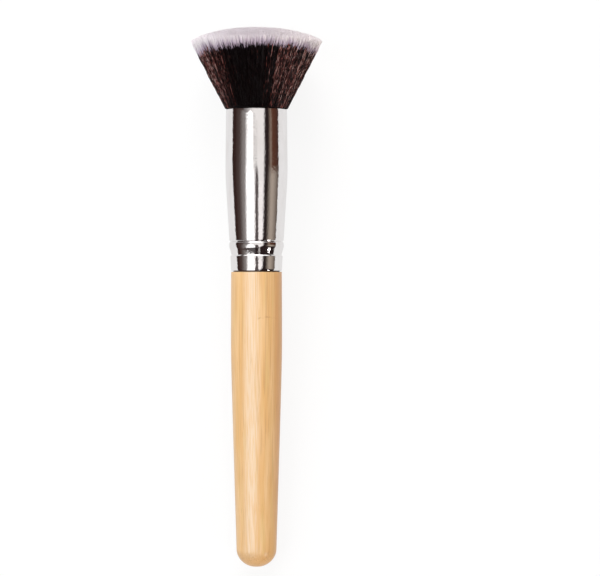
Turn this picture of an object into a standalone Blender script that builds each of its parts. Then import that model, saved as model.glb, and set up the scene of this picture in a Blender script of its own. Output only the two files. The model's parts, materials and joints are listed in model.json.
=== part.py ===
"""Foundation brush: a round, flat-topped brush on a turned bamboo handle, piece by piece as it comes apart.

Metres, +Z up. Each piece is modelled on the brush's own axis, where heights run from the flat of the butt
towards the tips. The whole brush then lies on the table: its axis points along +Y with the head raised, and
it rests on its rounded butt and on the rim of its bristles, which the table presses flat.
"""

import math
import random

import bmesh
import bpy
import numpy as np
from mathutils import Vector

# The handle, turned from one blank of bamboo. Its heights start at the flat of the butt.
HANDLE_LENGTH = 0.0958  # butt to shoulder, without the tenon
BUTT_RADIUS = 0.0065  # where the domed end runs into the taper
BUTT_DOME_HEIGHT = 0.0057
BUTT_FLAT_RADIUS = 0.0017  # the small flat that parting off leaves
BELLY_RADIUS = 0.00833  # the thickest place of the grip
BELLY_HEIGHT = 0.074
BELLY_EASE = 0.0087  # how softly the taper runs into the belly
SHOULDER_BREAK = 0.0002  # edge rounded off where the wood meets the metal
TENON_LENGTH = 0.0140
TENON_CHAMFER = 0.0008
GLUE_GROOVE_DEPTH = 0.0004  # turned into the tenon under each crimp
GLUE_GROOVE_WIDTH = 0.0014

# The ferrule, a drawn and plated tube. Its heights start at its foot, on the handle's shoulder.
FERRULE_LENGTH = 0.0524
FERRULE_WALL = 0.00045
FOOT_RADIUS = 0.00825
MOUTH_RADIUS = 0.00992
WAIST_RADIUS = 0.01015  # where the cone turns into the barrel
WAIST_HEIGHT = 0.0312
WAIST_BEND = 0.0070  # length over which the wall turns from cone to barrel
EDGE_BREAK = 0.00012  # both cut edges of the tube are rolled smooth
LOWER_CRIMP_HEIGHT = 0.0051
UPPER_CRIMP_HEIGHT = 0.0095
CRIMP_DEPTH = 0.00030
CRIMP_WIDTH = 0.00070
BEAD_RISE = 0.00014  # the metal between the crimps swells under the upper one
BEAD_LENGTH = 0.0024
COVE_DEPTH = 0.00016  # and is drawn in above the lower one

# What the ferrule holds: glue on the tenon, and the filaments' roots set in resin and tied round.
SEAT_GAP = 0.0003  # clearance where pieces seat on each other
GLUE_RUN = 0.0030  # how far the glue reaches down the tenon from its end
GLUE_CAP = 0.0012  # thickness of the glue over the tenon's end
GLUE_CREEP = 0.0006  # how far its edge creeps up the metal
RESIN_DEPTH = 0.0045  # mouth of the ferrule to the resin's top
ROOT_CLEARANCE = 0.0080  # air between the glue's edge and the root's end
MENISCUS_DEPTH = 0.0011  # the resin creeps up the wall and dips in the middle
BINDING_HEIGHT = 0.0040  # end of the root to the first turn of thread
BINDING_TURNS = 5
THREAD_RADIUS = 0.0004
THREAD_SPACING = 0.00045  # clear gap from turn to turn

# The bristles, packed in the ferrule's mouth and spread to a wide, slightly crowned head.
RIM_RADIUS = 0.0212  # the head at its widest, at the tips of its outer strands
CROWN_LENGTH = 0.0266  # mouth of the ferrule to the tips in the middle
CROWN_RISE = 0.0043  # how far the middle stands above the rim
PALE_LENGTH = 0.0031  # the undyed ends of the filaments
COLLAR_HEIGHT = 0.0009  # where the outer strands have bent over the mouth's edge
COLLAR_OVERHANG = 0.0006  # how far they then stand out past the metal
STRAND_RINGS = 11
STRANDS_PER_RING = 6  # each ring has this many more than the ring inside it
STRAND_FILL_SHARE = 0.84  # of the room that each strand has
STRAND_RISE = 0.00005  # the outer strands leave the packed slice upright
STRAND_OVERRUN = 0.0005  # depth to which strands run into the slice they grow from
UNEVEN_TIPS = 0.00035  # most that a strand's tip stands above or below its neighbours
TIP_WANDER_SHARE = 0.16  # of a strand's room, sideways at the tip
PRESS_DEPTH = 0.0005  # depth to which the table presses the rim flat
STRAND_SEED = 11

# How finely the round shapes are made.
TURNED_STEPS = 48
INNER_STEPS = 36
GRIP_POINTS = 13
DOME_POINTS = 8
BEND_POINTS = 5
THREAD_POINTS = 24  # for each turn
THREAD_BEVEL_RESOLUTION = 1
SHARP_ANGLE = math.radians(35)
MERGE_DISTANCE = 0.000001
CUT_OVERRUN = 0.02

# Colours, linear, with roughness and metallic values.
BAMBOO = ((0.80, 0.56, 0.31), 0.36, 0.0)
PLATED_METAL = ((0.86, 0.85, 0.86), 0.07, 1.0)
FILAMENT_BROWN = ((0.030, 0.013, 0.010), 0.38, 0.0)
FILAMENT_PALE = ((0.74, 0.66, 0.73), 0.50, 0.0)
CLEAR_RESIN = ((0.62, 0.45, 0.18), 0.15, 0.0)
WHITE_GLUE = ((0.78, 0.75, 0.66), 0.40, 0.0)
COTTON_THREAD = ((0.70, 0.67, 0.60), 0.85, 0.0)


def clear_scene():
    for old in list(bpy.data.objects):
        bpy.data.objects.remove(old, do_unlink=True)


def finish(name, look):
    """A Principled material with a colour, roughness and metallic value."""
    colour, roughness, metallic = look
    material = bpy.data.materials.new(name)
    material.use_nodes = True
    shader = material.node_tree.nodes["Principled BSDF"]
    shader.inputs["Base Color"].default_value = (*colour, 1.0)
    shader.inputs["Roughness"].default_value = roughness
    shader.inputs["Metallic"].default_value = metallic
    material.diffuse_color = (*colour, 1.0)
    return material


def add_object(name, data, parent, height=0.0):
    """Puts mesh or curve data in the scene, at a height along its parent's axis."""
    item = bpy.data.objects.new(name, data)
    item.parent = parent
    item.location.z = height
    bpy.context.scene.collection.objects.link(item)
    return item


def hide_helper(item):
    item.hide_render = True
    item.display_type = "WIRE"


def turned(name, outline, look, parent, height=0.0, steps=TURNED_STEPS):
    """A piece turned on the axis from its outline of (radius, height) points."""
    shape = bmesh.new()
    points = [shape.verts.new((radius, 0, level)) for radius, level in outline]
    ends = list(zip(points, points[1:]))
    if outline[0][0] > 0:
        ends.append((points[-1], points[0]))
    edges = [shape.edges.new(pair) for pair in ends]
    bmesh.ops.spin(shape, geom=points + edges, cent=(0, 0, 0), axis=(0, 0, 1), angle=math.tau, steps=steps)
    bmesh.ops.remove_doubles(shape, verts=shape.verts, dist=MERGE_DISTANCE)
    bmesh.ops.recalc_face_normals(shape, faces=shape.faces)
    mesh = bpy.data.meshes.new(name)
    shape.to_mesh(mesh)
    shape.free()
    mesh.shade_smooth()
    mesh.set_sharp_from_angle(angle=SHARP_ANGLE)
    mesh.materials.append(finish(name, look))
    return add_object(name, mesh, parent, height)


def spread(start, end, count):
    """Evenly spaced values from start to end, both kept."""
    return [start + (end - start) * step / (count - 1) for step in range(count)]


def wall_radius(height):
    """The ferrule's outer radius above its foot, without crimps: a cone, a soft bend and a barrel."""
    cone_slope = (WAIST_RADIUS - FOOT_RADIUS) / WAIST_HEIGHT
    barrel_slope = (MOUTH_RADIUS - WAIST_RADIUS) / (FERRULE_LENGTH - WAIST_HEIGHT)
    bend_start = WAIST_HEIGHT - WAIST_BEND / 2
    bend_end = WAIST_HEIGHT + WAIST_BEND / 2
    if height >= bend_end:
        return WAIST_RADIUS + barrel_slope * (height - WAIST_HEIGHT)
    radius = WAIST_RADIUS + cone_slope * (height - WAIST_HEIGHT)
    if height > bend_start:
        radius += (barrel_slope - cone_slope) * (height - bend_start) ** 2 / (2 * WAIST_BEND)
    return radius


def bore_radius(height):
    """The ferrule's inner radius above its foot, without crimps."""
    return wall_radius(height) - FERRULE_WALL


def bend_heights():
    return spread(WAIST_HEIGHT - WAIST_BEND / 2, WAIST_HEIGHT + WAIST_BEND / 2, BEND_POINTS)


def grip_radius(height):
    """The handle's radius above its dome: a straight taper eased into the belly, then in to the shoulder."""
    if height > BELLY_HEIGHT:
        share = (height - BELLY_HEIGHT) / (HANDLE_LENGTH - BELLY_HEIGHT)
        return BELLY_RADIUS - (BELLY_RADIUS - FOOT_RADIUS) * share**2
    eased = math.hypot(BELLY_HEIGHT - height, BELLY_EASE) - BELLY_EASE
    whole = math.hypot(BELLY_HEIGHT - BUTT_DOME_HEIGHT, BELLY_EASE) - BELLY_EASE
    return BELLY_RADIUS - (BELLY_RADIUS - BUTT_RADIUS) * eased / whole


def tenon_radius():
    return bore_radius(0) - SEAT_GAP


def packed_radius():
    """The bundle of filaments where the ferrule's mouth holds it."""
    return bore_radius(FERRULE_LENGTH) - SEAT_GAP


def dome_outline():
    """The rounded butt, an ellipse cut by its small flat, from its widest place down to the flat."""
    flat_angle = math.asin(BUTT_FLAT_RADIUS / BUTT_RADIUS)
    depth = BUTT_DOME_HEIGHT / math.cos(flat_angle)
    angles = spread(math.pi / 2, flat_angle, DOME_POINTS)
    points = [(BUTT_RADIUS * math.sin(angle), BUTT_DOME_HEIGHT - depth * math.cos(angle)) for angle in angles]
    return points[:-1] + [(BUTT_FLAT_RADIUS, 0)]


def tenon_outline():
    """The reduced end that enters the ferrule, with a glue groove under each crimp, from its end down."""
    radius = tenon_radius()
    foot = HANDLE_LENGTH + SEAT_GAP
    top = foot + TENON_LENGTH
    points = [(0, top), (radius - TENON_CHAMFER, top), (radius, top - TENON_CHAMFER)]
    for crimp in (UPPER_CRIMP_HEIGHT, LOWER_CRIMP_HEIGHT):
        points.append((radius, foot + crimp + GLUE_GROOVE_WIDTH / 2))
        points.append((radius - GLUE_GROOVE_DEPTH, foot + crimp))
        points.append((radius, foot + crimp - GLUE_GROOVE_WIDTH / 2))
    return points + [(radius, HANDLE_LENGTH)]


def handle_outline():
    shoulder = [(FOOT_RADIUS - SHOULDER_BREAK, HANDLE_LENGTH)]
    heights = spread(HANDLE_LENGTH - SHOULDER_BREAK, BUTT_DOME_HEIGHT, GRIP_POINTS)
    grip = [(grip_radius(height), height) for height in heights]
    return tenon_outline() + shoulder + grip[:-1] + dome_outline() + [(0, 0)]


def crimp_outline():
    """Both rolled crimps with the bead and the cove between them, as (height, step out) from the top down."""
    half = CRIMP_WIDTH / 2
    bead_top = UPPER_CRIMP_HEIGHT - half
    bead_foot = bead_top - BEAD_LENGTH
    cove_foot = LOWER_CRIMP_HEIGHT + half
    return [
        (UPPER_CRIMP_HEIGHT + half, 0),
        (UPPER_CRIMP_HEIGHT, -CRIMP_DEPTH),
        (bead_top, 0),
        ((bead_top * 2 + bead_foot) / 3, BEAD_RISE),
        ((bead_top + bead_foot * 2) / 3, BEAD_RISE),
        (bead_foot, -COVE_DEPTH / 2),
        ((bead_foot + cove_foot) / 2, -COVE_DEPTH),
        (cove_foot, -COVE_DEPTH / 2),
        (LOWER_CRIMP_HEIGHT, -CRIMP_DEPTH),
        (LOWER_CRIMP_HEIGHT - half, 0),
    ]


def ferrule_wall():
    """The wall's outer face as (radius, height), from just under the mouth down to just above the foot."""
    heights = [FERRULE_LENGTH - EDGE_BREAK] + bend_heights()[::-1]
    wall = [(wall_radius(height), height) for height in heights]
    wall += [(wall_radius(height) + step, height) for height, step in crimp_outline()]
    return wall + [(wall_radius(EDGE_BREAK), EDGE_BREAK)]


def ferrule_outline():
    """The tube's outer face down to the foot, and its inner face back up."""
    outer = ferrule_wall()
    mouth = (wall_radius(FERRULE_LENGTH) - EDGE_BREAK, FERRULE_LENGTH)
    foot = (wall_radius(0) - EDGE_BREAK, 0)
    inner = [(radius - FERRULE_WALL, height) for radius, height in outer[::-1]]
    inner_foot = (bore_radius(0) + EDGE_BREAK, 0)
    inner_mouth = (bore_radius(FERRULE_LENGTH) + EDGE_BREAK, FERRULE_LENGTH)
    return [mouth] + outer + [foot, inner_foot] + inner + [inner_mouth]


def glue_top():
    """Height above the ferrule's foot of the glue's flat top."""
    return TENON_LENGTH + SEAT_GAP + GLUE_CAP


def glue_outline():
    """A cap of glue over the tenon's end, which runs down the gap between wood and metal."""
    skirt = TENON_LENGTH - GLUE_RUN
    base = TENON_LENGTH + SEAT_GAP
    edge = glue_top() + GLUE_CREEP
    outer_radius = bore_radius(edge) - SEAT_GAP
    inner_radius = tenon_radius() + SEAT_GAP
    return [
        (0, glue_top()),
        (outer_radius - GLUE_CREEP, glue_top()),
        (outer_radius, edge),
        (bore_radius(skirt) - SEAT_GAP, skirt),
        (inner_radius, skirt),
        (inner_radius, base),
        (0, base),
    ]


def root_foot():
    """Height of the root's end above the ferrule's foot."""
    return glue_top() + GLUE_CREEP + ROOT_CLEARANCE


def thread_pitch():
    return 2 * THREAD_RADIUS + THREAD_SPACING


def binding_length():
    return BINDING_TURNS * thread_pitch() + 2 * THREAD_RADIUS


def waist_radius():
    """The root where the thread draws it in, so that the thread lies just clear of the metal."""
    return bore_radius(root_foot() + BINDING_HEIGHT) - 2 * SEAT_GAP - 2 * THREAD_RADIUS


def root_outline():
    """The filaments' roots set in one block of resin, drawn in where they are tied, from the top down."""
    foot = root_foot()
    top = FERRULE_LENGTH - RESIN_DEPTH
    waist_foot = foot + BINDING_HEIGHT - SEAT_GAP
    waist_top = foot + BINDING_HEIGHT + binding_length() + SEAT_GAP
    lead = bore_radius(waist_top) - SEAT_GAP - waist_radius()
    swell = waist_top + lead
    levels = [height for height in bend_heights()[::-1] if swell < height < top] + [swell]
    side = [(bore_radius(height) - SEAT_GAP, height) for height in [top] + levels]
    side += [(waist_radius(), waist_top), (waist_radius(), waist_foot)]
    side += [(bore_radius(height) - SEAT_GAP, height) for height in (waist_foot - lead / 2, foot)]
    return [(0, top)] + side + [(waist_radius() / 2, foot + MENISCUS_DEPTH * 3 / 4), (0, foot + MENISCUS_DEPTH)]


def thread_points():
    """The middle of the thread, wound round the root in one rising helix."""
    radius = waist_radius() + SEAT_GAP + THREAD_RADIUS
    points = []
    for step in range(BINDING_TURNS * THREAD_POINTS + 1):
        angle = math.tau * step / THREAD_POINTS
        rise = THREAD_RADIUS + thread_pitch() * step / THREAD_POINTS
        points.append((radius * math.cos(angle), radius * math.sin(angle), rise))
    return points


def report_thread_gap(points):
    """Prints the least clear gap between one turn of the thread and the next."""
    places = np.array(points)
    apart = THREAD_POINTS * 3 // 4
    least = min(np.linalg.norm(places[i + apart :] - places[i], axis=1).min() for i in range(len(places) - apart))
    print(f"least gap between turns of the thread: {(least - 2 * THREAD_RADIUS) * 1000:.2f} mm")


def build_binding(parent, height):
    points = thread_points()
    report_thread_gap(points)
    curve = bpy.data.curves.new("root_binding", "CURVE")
    curve.dimensions = "3D"
    curve.bevel_depth = THREAD_RADIUS
    curve.bevel_resolution = THREAD_BEVEL_RESOLUTION
    curve.use_fill_caps = True
    spline = curve.splines.new("POLY")
    spline.points.add(len(points) - 1)
    for place, point in zip(spline.points, points):
        place.co = (*point, 1)
    curve.materials.append(finish("root_binding", COTTON_THREAD))
    return add_object("root_binding", curve, parent, height)


def crown_height(radius):
    """Height above the ferrule's mouth of the crowned top, part of a ball, at a distance from the axis."""
    ball = (RIM_RADIUS**2 + CROWN_RISE**2) / (2 * CROWN_RISE)
    return CROWN_LENGTH - ball + math.sqrt(ball**2 - radius**2)


def fan_out(height):
    """How many times wider the bundle is at a height than in the mouth, along straight rays."""
    rim_height = crown_height(RIM_RADIUS)
    return 1 + (RIM_RADIUS / packed_radius() - 1) * height / rim_height


def strand_corners(ring, turn):
    """Corners of a strand's cell in the mouth, as (radius, angle), and the strand's middle."""
    pitch = packed_radius() / (STRAND_RINGS + 0.5)
    half = pitch * STRAND_FILL_SHARE / 2
    if ring == 0:
        return [(half, turn + math.pi * quarter / 2) for quarter in range(4)], 0
    middle = ring * pitch
    sweep = math.pi / (ring * STRANDS_PER_RING) * STRAND_FILL_SHARE
    inner = middle - half
    outer = middle + half
    return [(inner, turn - sweep), (outer, turn - sweep), (outer, turn + sweep), (inner, turn + sweep)], middle


def strand_levels(ring, corners, shaft_top):
    """The strand's four-cornered sections as lists of (radius, angle, height), from its root up."""

    def ray(height):
        return [(radius * fan_out(height), angle, height) for radius, angle in corners]

    if ring < STRAND_RINGS:
        return [ray(-STRAND_OVERRUN), ray(shaft_top)]
    upright = [[(radius, angle, height) for radius, angle in corners] for height in (-STRAND_OVERRUN, STRAND_RISE)]
    outer_radius = max(radius for radius, angle in corners)
    step_out = MOUTH_RADIUS + COLLAR_OVERHANG - outer_radius
    collar = [(radius + step_out, angle, COLLAR_HEIGHT) for radius, angle in corners]
    return upright + [collar, ray(shaft_top)]


def strand_tip(ring, middle, turn, chance):
    """The strand's point on the crown, a little off its own middle and height."""
    radius = RIM_RADIUS * ring / STRAND_RINGS
    room = RIM_RADIUS / STRAND_RINGS * TIP_WANDER_SHARE
    height = crown_height(radius) + chance.uniform(-UNEVEN_TIPS, UNEVEN_TIPS)
    along = chance.uniform(-room, room)
    across = chance.uniform(-room, room)
    outward = Vector((math.cos(turn), math.sin(turn), 0))
    sideways = Vector((-math.sin(turn), math.cos(turn), 0))
    if ring == STRAND_RINGS:
        along = min(along, 0)
    return outward * (radius + along) + sideways * across + Vector((0, 0, height))


def add_strand(shape, ring, turn, chance):
    """One four-sided strand: a dyed shaft that widens towards the crown, and an undyed point."""
    corners, middle = strand_corners(ring, turn)
    tip = strand_tip(ring, middle, turn, chance)
    sections = []
    for level in strand_levels(ring, corners, tip.z - PALE_LENGTH):
        places = [(radius * math.cos(angle), radius * math.sin(angle), height) for radius, angle, height in level]
        sections.append([shape.verts.new(place) for place in places])
    shape.faces.new(sections[0][::-1])
    for lower, upper in zip(sections, sections[1:]):
        for side in range(4):
            after = (side + 1) % 4
            shape.faces.new((lower[side], lower[after], upper[after], upper[side]))
    point = shape.verts.new(tip)
    for side in range(4):
        face = shape.faces.new((sections[-1][side], sections[-1][(side + 1) % 4], point))
        face.material_index = 1


def build_strands(parent, height, dark, pale):
    """All strands, ring by ring, as one helper that is joined to the packed slice."""
    chance = random.Random(STRAND_SEED)
    shape = bmesh.new()
    add_strand(shape, 0, 0, chance)
    for ring in range(1, STRAND_RINGS + 1):
        count = ring * STRANDS_PER_RING
        start = chance.uniform(0, math.tau / count)
        for place in range(count):
            add_strand(shape, ring, start + math.tau * place / count, chance)
    mesh = bpy.data.meshes.new("strands")
    shape.to_mesh(mesh)
    shape.free()
    mesh.materials.append(dark)
    mesh.materials.append(pale)
    strands = add_object("strands", mesh, parent, height)
    hide_helper(strands)
    return strands


def slice_outline():
    """The filaments packed tight between the resin and the mouth, from the mouth down."""
    foot = SEAT_GAP - RESIN_DEPTH
    base_radius = bore_radius(FERRULE_LENGTH + foot) - SEAT_GAP
    return [(0, 0), (packed_radius(), 0), (base_radius, foot), (0, foot)]


def join_by(item, other, operation, name):
    """Adds an exact Boolean of the item with a helper."""
    change = item.modifiers.new(name, "BOOLEAN")
    change.operation = operation
    change.object = other
    change.solver = "EXACT"
    change.material_mode = "TRANSFER"


def build_bristles(parent, height, table):
    bristles = turned("bristles", slice_outline(), FILAMENT_BROWN, parent, height)
    pale = finish("bristle_tips", FILAMENT_PALE)
    strands = build_strands(parent, height, bristles.data.materials[0], pale)
    bristles.data.materials.append(pale)
    join_by(bristles, strands, "UNION", "grow strands")
    join_by(bristles, table, "DIFFERENCE", "press flat")
    return bristles


def resting_pose():
    """Tilt of the axis, and height of the butt, when the brush lies on its butt and its pressed rim."""
    rim_height = HANDLE_LENGTH + SEAT_GAP + FERRULE_LENGTH + crown_height(RIM_RADIUS)
    rim_radius = RIM_RADIUS - PRESS_DEPTH
    butt = dome_outline()
    slope, radius, height = min(((rim_radius - r) / (rim_height - h), r, h) for r, h in butt)
    tilt = math.atan(slope)
    return tilt, radius * math.cos(tilt) - height * math.sin(tilt)


def build_table(parent, distance):
    """A block under the head whose top is the table's surface, to press the bristles flat."""
    shape = bmesh.new()
    bmesh.ops.create_cube(shape, size=2 * (RIM_RADIUS + CUT_OVERRUN))
    bmesh.ops.translate(shape, verts=shape.verts, vec=(0, distance, -RIM_RADIUS - CUT_OVERRUN))
    mesh = bpy.data.meshes.new("table")
    shape.to_mesh(mesh)
    shape.free()
    table = add_object("table", mesh, parent)
    hide_helper(table)
    return table


def centre_over_origin(stand, pieces):
    """Moves the stand so that the middle of the brush's box is over the origin."""
    bpy.context.view_layer.update()
    graph = bpy.context.evaluated_depsgraph_get()
    corners = []
    for piece in pieces:
        evaluated = piece.evaluated_get(graph)
        mesh = evaluated.to_mesh()
        corners += [evaluated.matrix_world @ vertex.co for vertex in mesh.vertices]
        evaluated.to_mesh_clear()
    for axis in (0, 1):
        values = [corner[axis] for corner in corners]
        stand.location[axis] -= (min(values) + max(values)) / 2


def build_brush():
    stand = add_object("brush_stand", None, None)
    axis = add_object("brush_axis", None, stand)
    tilt, lift = resting_pose()
    axis.rotation_euler.x = tilt - math.pi / 2
    axis.location.z = lift
    ferrule_foot = HANDLE_LENGTH + SEAT_GAP
    mouth = ferrule_foot + FERRULE_LENGTH
    table = build_table(stand, mouth + CROWN_LENGTH)
    pieces = [
        turned("handle", handle_outline(), BAMBOO, axis),
        turned("handle_glue", glue_outline(), WHITE_GLUE, axis, ferrule_foot, INNER_STEPS),
        turned("ferrule", ferrule_outline(), PLATED_METAL, axis, ferrule_foot),
        turned("potted_root", root_outline(), CLEAR_RESIN, axis, ferrule_foot, INNER_STEPS),
        build_binding(axis, ferrule_foot + root_foot() + BINDING_HEIGHT),
        build_bristles(axis, mouth, table),
    ]
    centre_over_origin(stand, pieces)


clear_scene()
build_brush()
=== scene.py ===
"""Foundation brush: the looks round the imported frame, in metres, with the brush lying on the table.

Every piece is worked out on the brush's own axis, where heights run from the flat of the butt towards the
tips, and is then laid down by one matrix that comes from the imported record.
"""

import sys
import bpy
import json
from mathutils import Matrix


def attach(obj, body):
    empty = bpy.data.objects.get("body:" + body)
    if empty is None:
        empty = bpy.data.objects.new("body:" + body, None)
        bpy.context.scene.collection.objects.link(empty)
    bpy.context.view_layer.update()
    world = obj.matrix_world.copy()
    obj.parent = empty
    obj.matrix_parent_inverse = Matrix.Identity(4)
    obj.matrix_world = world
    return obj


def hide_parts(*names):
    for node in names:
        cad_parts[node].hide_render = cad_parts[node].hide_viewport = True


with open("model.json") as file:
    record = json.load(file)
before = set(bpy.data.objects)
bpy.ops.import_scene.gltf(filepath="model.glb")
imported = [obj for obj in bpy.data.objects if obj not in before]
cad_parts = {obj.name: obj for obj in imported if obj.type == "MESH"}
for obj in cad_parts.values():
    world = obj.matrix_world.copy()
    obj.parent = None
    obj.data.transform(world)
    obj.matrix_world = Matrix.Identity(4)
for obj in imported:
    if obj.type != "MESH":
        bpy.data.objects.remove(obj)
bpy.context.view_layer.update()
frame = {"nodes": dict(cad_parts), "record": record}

import json
import logging
import math
from dataclasses import dataclass, field, fields
from enum import Enum
from typing import Any, Sequence

import bpy
import numpy as np
from mathutils import Matrix, Vector

log = logging.getLogger("foundation_brush")

MM = 0.001
PICTURE_WIDTH_PX = 600
BODY = "root"
UV_MAP = "OFBake"

Colour = tuple[float, float, float]
Profile = list[tuple[float, float]]
Settings = dict[str, Any]
Values = dict[str | int, Any]
# A soft run: where it starts, where it ends, and the most that it reaches.
Ramp = tuple[float, float, float]


def evenly(start: float, end: float, count: int) -> list[float]:
    """Lists evenly spaced values from start to end, both kept."""
    return [start + (end - start) * step / (count - 1) for step in range(count)]


class Term:
    """One number or vector in a node tree, so that node maths reads as Python arithmetic."""

    def __init__(self, kit: "NodeKit", socket: bpy.types.NodeSocket) -> None:
        self.kit = kit
        self.socket = socket

    def is_vector(self) -> bool:
        """Tells whether the socket carries a vector."""
        return self.socket.type == "VECTOR"

    def _math(self, operation: str, *values: Any) -> "Term":
        """Adds one Math or Vector Math node.

        Args:
            operation: The node's operation.
            values: What its sockets take, in order.

        Returns:
            The node's result.
        """
        kind = "ShaderNodeVectorMath" if self.is_vector() else "ShaderNodeMath"
        return self.kit.out(kind, {"operation": operation}, dict(enumerate(values)))

    def __add__(self, other: Any) -> "Term":
        """Adds a value."""
        return self._math("ADD", self, other)

    __radd__ = __add__

    def __sub__(self, other: Any) -> "Term":
        """Takes a value away."""
        return self._math("SUBTRACT", self, other)

    def __rsub__(self, other: Any) -> "Term":
        """Takes this away from a value."""
        return self._math("SUBTRACT", other, self)

    def __mul__(self, other: Any) -> "Term":
        """Multiplies by a value.

        Args:
            other: A number or a term. One number scales a vector.

        Returns:
            The product.
        """
        plain = not other.is_vector() if isinstance(other, Term) else isinstance(other, (int, float))
        if self.is_vector() and plain:
            return self.kit.out("ShaderNodeVectorMath", {"operation": "SCALE"}, {0: self, "Scale": other})
        return self._math("MULTIPLY", self, other)

    __rmul__ = __mul__

    def __truediv__(self, other: Any) -> "Term":
        """Divides by a value."""
        return self._math("DIVIDE", self, other)

    def __rtruediv__(self, other: Any) -> "Term":
        """Divides a value by this."""
        return self._math("DIVIDE", other, self)

    def __pow__(self, other: Any) -> "Term":
        """Raises to a power."""
        return self._math("POWER", self, other)

    def call(self, operation: str, *others: Any) -> "Term":
        """Applies any other operation of the Math node, such as SQRT or MAXIMUM."""
        return self._math(operation, self, *others)

    def smooth(self, low: Any, high: Any, most: float = 1.0) -> "Term":
        """Runs softly from 0 at low to most at high."""
        values = {"Value": self, "From Min": low, "From Max": high, "To Max": most}
        return self.kit.out("ShaderNodeMapRange", {"interpolation_type": "SMOOTHSTEP"}, values)

    def part(self, axis: str) -> "Term":
        """Takes X, Y or Z of a vector."""
        return self.kit.out("ShaderNodeSeparateXYZ", {}, {0: self}, axis)


class NodeKit:
    """Adds nodes to one shader or geometry tree."""

    def __init__(self, tree: bpy.types.NodeTree) -> None:
        """Keeps the tree that every node goes to."""
        self.tree = tree

    def node(self, kind: str, settings: Settings, values: Values) -> bpy.types.Node:
        """Adds a node, sets what it is, and then fills its sockets.

        Args:
            kind: The node's type.
            settings: Its properties. "knots" holds a float curve's points.
            values: Numbers, texts, data or links, by the socket's name or place.

        Returns:
            The node.
        """
        node = self.tree.nodes.new(kind)
        for name, value in settings.items():
            if name == "knots":
                self._set_knots(node.mapping, value)
            else:
                setattr(node, name, value)
        for key, value in values.items():
            self.feed(self._socket(node.inputs, key), value)
        return node

    def out(self, kind: str, settings: Settings, values: Values, name: str | int = 0) -> Term:
        """Adds a node as node() does, and returns one of its results."""
        return Term(self, self._socket(self.node(kind, settings, values).outputs, name))

    def feed(self, socket: bpy.types.NodeSocket, value: Any) -> None:
        """Gives a socket what it takes.

        Args:
            socket: The socket.
            value: A term or a socket, which is linked to it, or the socket's own value.
        """
        if isinstance(value, Term):
            value = value.socket
        if isinstance(value, bpy.types.NodeSocket):
            self.tree.links.new(value, socket)
        else:
            socket.default_value = value

    def join(self, x: Any, y: Any, z: Any) -> Term:
        """Makes a vector of three numbers."""
        return self.out("ShaderNodeCombineXYZ", {}, {"X": x, "Y": y, "Z": z})

    def blend(self, share: Any, first: Any, second: Any) -> Term:
        """Mixes two colours.

        Args:
            share: How much of the second there is, from 0 to 1.
            first: A colour or a link.
            second: A colour or a link.

        Returns:
            The mixed colour.
        """
        first, second = ((*tone, 1.0) if isinstance(tone, tuple) else tone for tone in (first, second))
        values = {"Factor": share, "A": first, "B": second}
        return self.out("ShaderNodeMix", {"data_type": "RGBA"}, values, "Result")

    def noise(self, place: Term, detail: float = 2.0) -> Term:
        """Reads a soft noise, one unit to a feature.

        Args:
            place: Where it is read: a vector, or a number for a noise along a line.
            detail: How many finer layers it has.

        Returns:
            The noise, from 0 to 1.
        """
        solid = place.is_vector()
        values = {"Vector" if solid else "W": place, "Scale": 1.0, "Detail": detail}
        return self.out("ShaderNodeTexNoise", {"noise_dimensions": "3D" if solid else "1D"}, values, "Fac")

    def bump(self, height: Term, strength: float, depth: float) -> Term:
        """Tilts the surface by a height, without moving it."""
        return self.out("ShaderNodeBump", {}, {"Strength": strength, "Distance": depth, "Height": height})

    @staticmethod
    def _socket(sockets: Sequence[bpy.types.NodeSocket], key: str | int) -> bpy.types.NodeSocket:
        """Finds a socket that is in use.

        Args:
            sockets: The node's inputs or outputs.
            key: The socket's place among those in use, or its name.

        Returns:
            The socket.
        """
        used = [socket for socket in sockets if socket.enabled]
        if isinstance(key, int):
            return used[key]
        return next(socket for socket in used if socket.name == key)

    @staticmethod
    def _set_knots(mapping: bpy.types.CurveMapping, knots: Sequence[tuple[float, float]]) -> None:
        """Gives a float curve straight runs between its knots.

        Args:
            mapping: The node's curve.
            knots: Its points, from 0 to 1 both ways.
        """
        curve = mapping.curves[0]
        while len(curve.points) < len(knots):
            curve.points.new(0.5, 0.5)
        for point, knot in zip(curve.points, knots):
            point.location = knot
            point.handle_type = "VECTOR"
        mapping.update()


@dataclass(frozen=True)
class BrushAxis:
    """The brush's own axis as it lies on the table, from the flat of the butt towards the tips."""

    butt: Vector
    along: Vector

    @classmethod
    def from_record(cls, record: dict) -> "BrushAxis":
        """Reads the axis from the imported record's mount on the flat of the butt."""
        mount = next(m for m in record["mounts"] if m["name"] == "butt_flat")
        return cls(Vector(mount["pos_m"]), -Vector(mount["axis"]))

    def matrix(self) -> Matrix:
        """Lays the brush down.

        Returns:
            What turns a place on the brush's axis into one on the table. The axis's Y points down.
        """
        side = Vector((1.0, 0.0, 0.0))
        turn = Matrix((side, self.along.cross(side), self.along)).transposed()
        return Matrix.Translation(self.butt) @ turn.to_4x4()

    def place_in(self, kit: NodeKit) -> Term:
        """Gives a material the place of its surface's points.

        Args:
            kit: The material's kit.

        Returns:
            The place on the brush's own axis, in metres.
        """
        seen = kit.out("ShaderNodeTexCoord", {}, {}, "Object")
        values = {"Vector": seen, "Location": self.butt, "Rotation": self.matrix().to_euler()}
        return kit.out("ShaderNodeMapping", {"vector_type": "TEXTURE"}, values)


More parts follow.
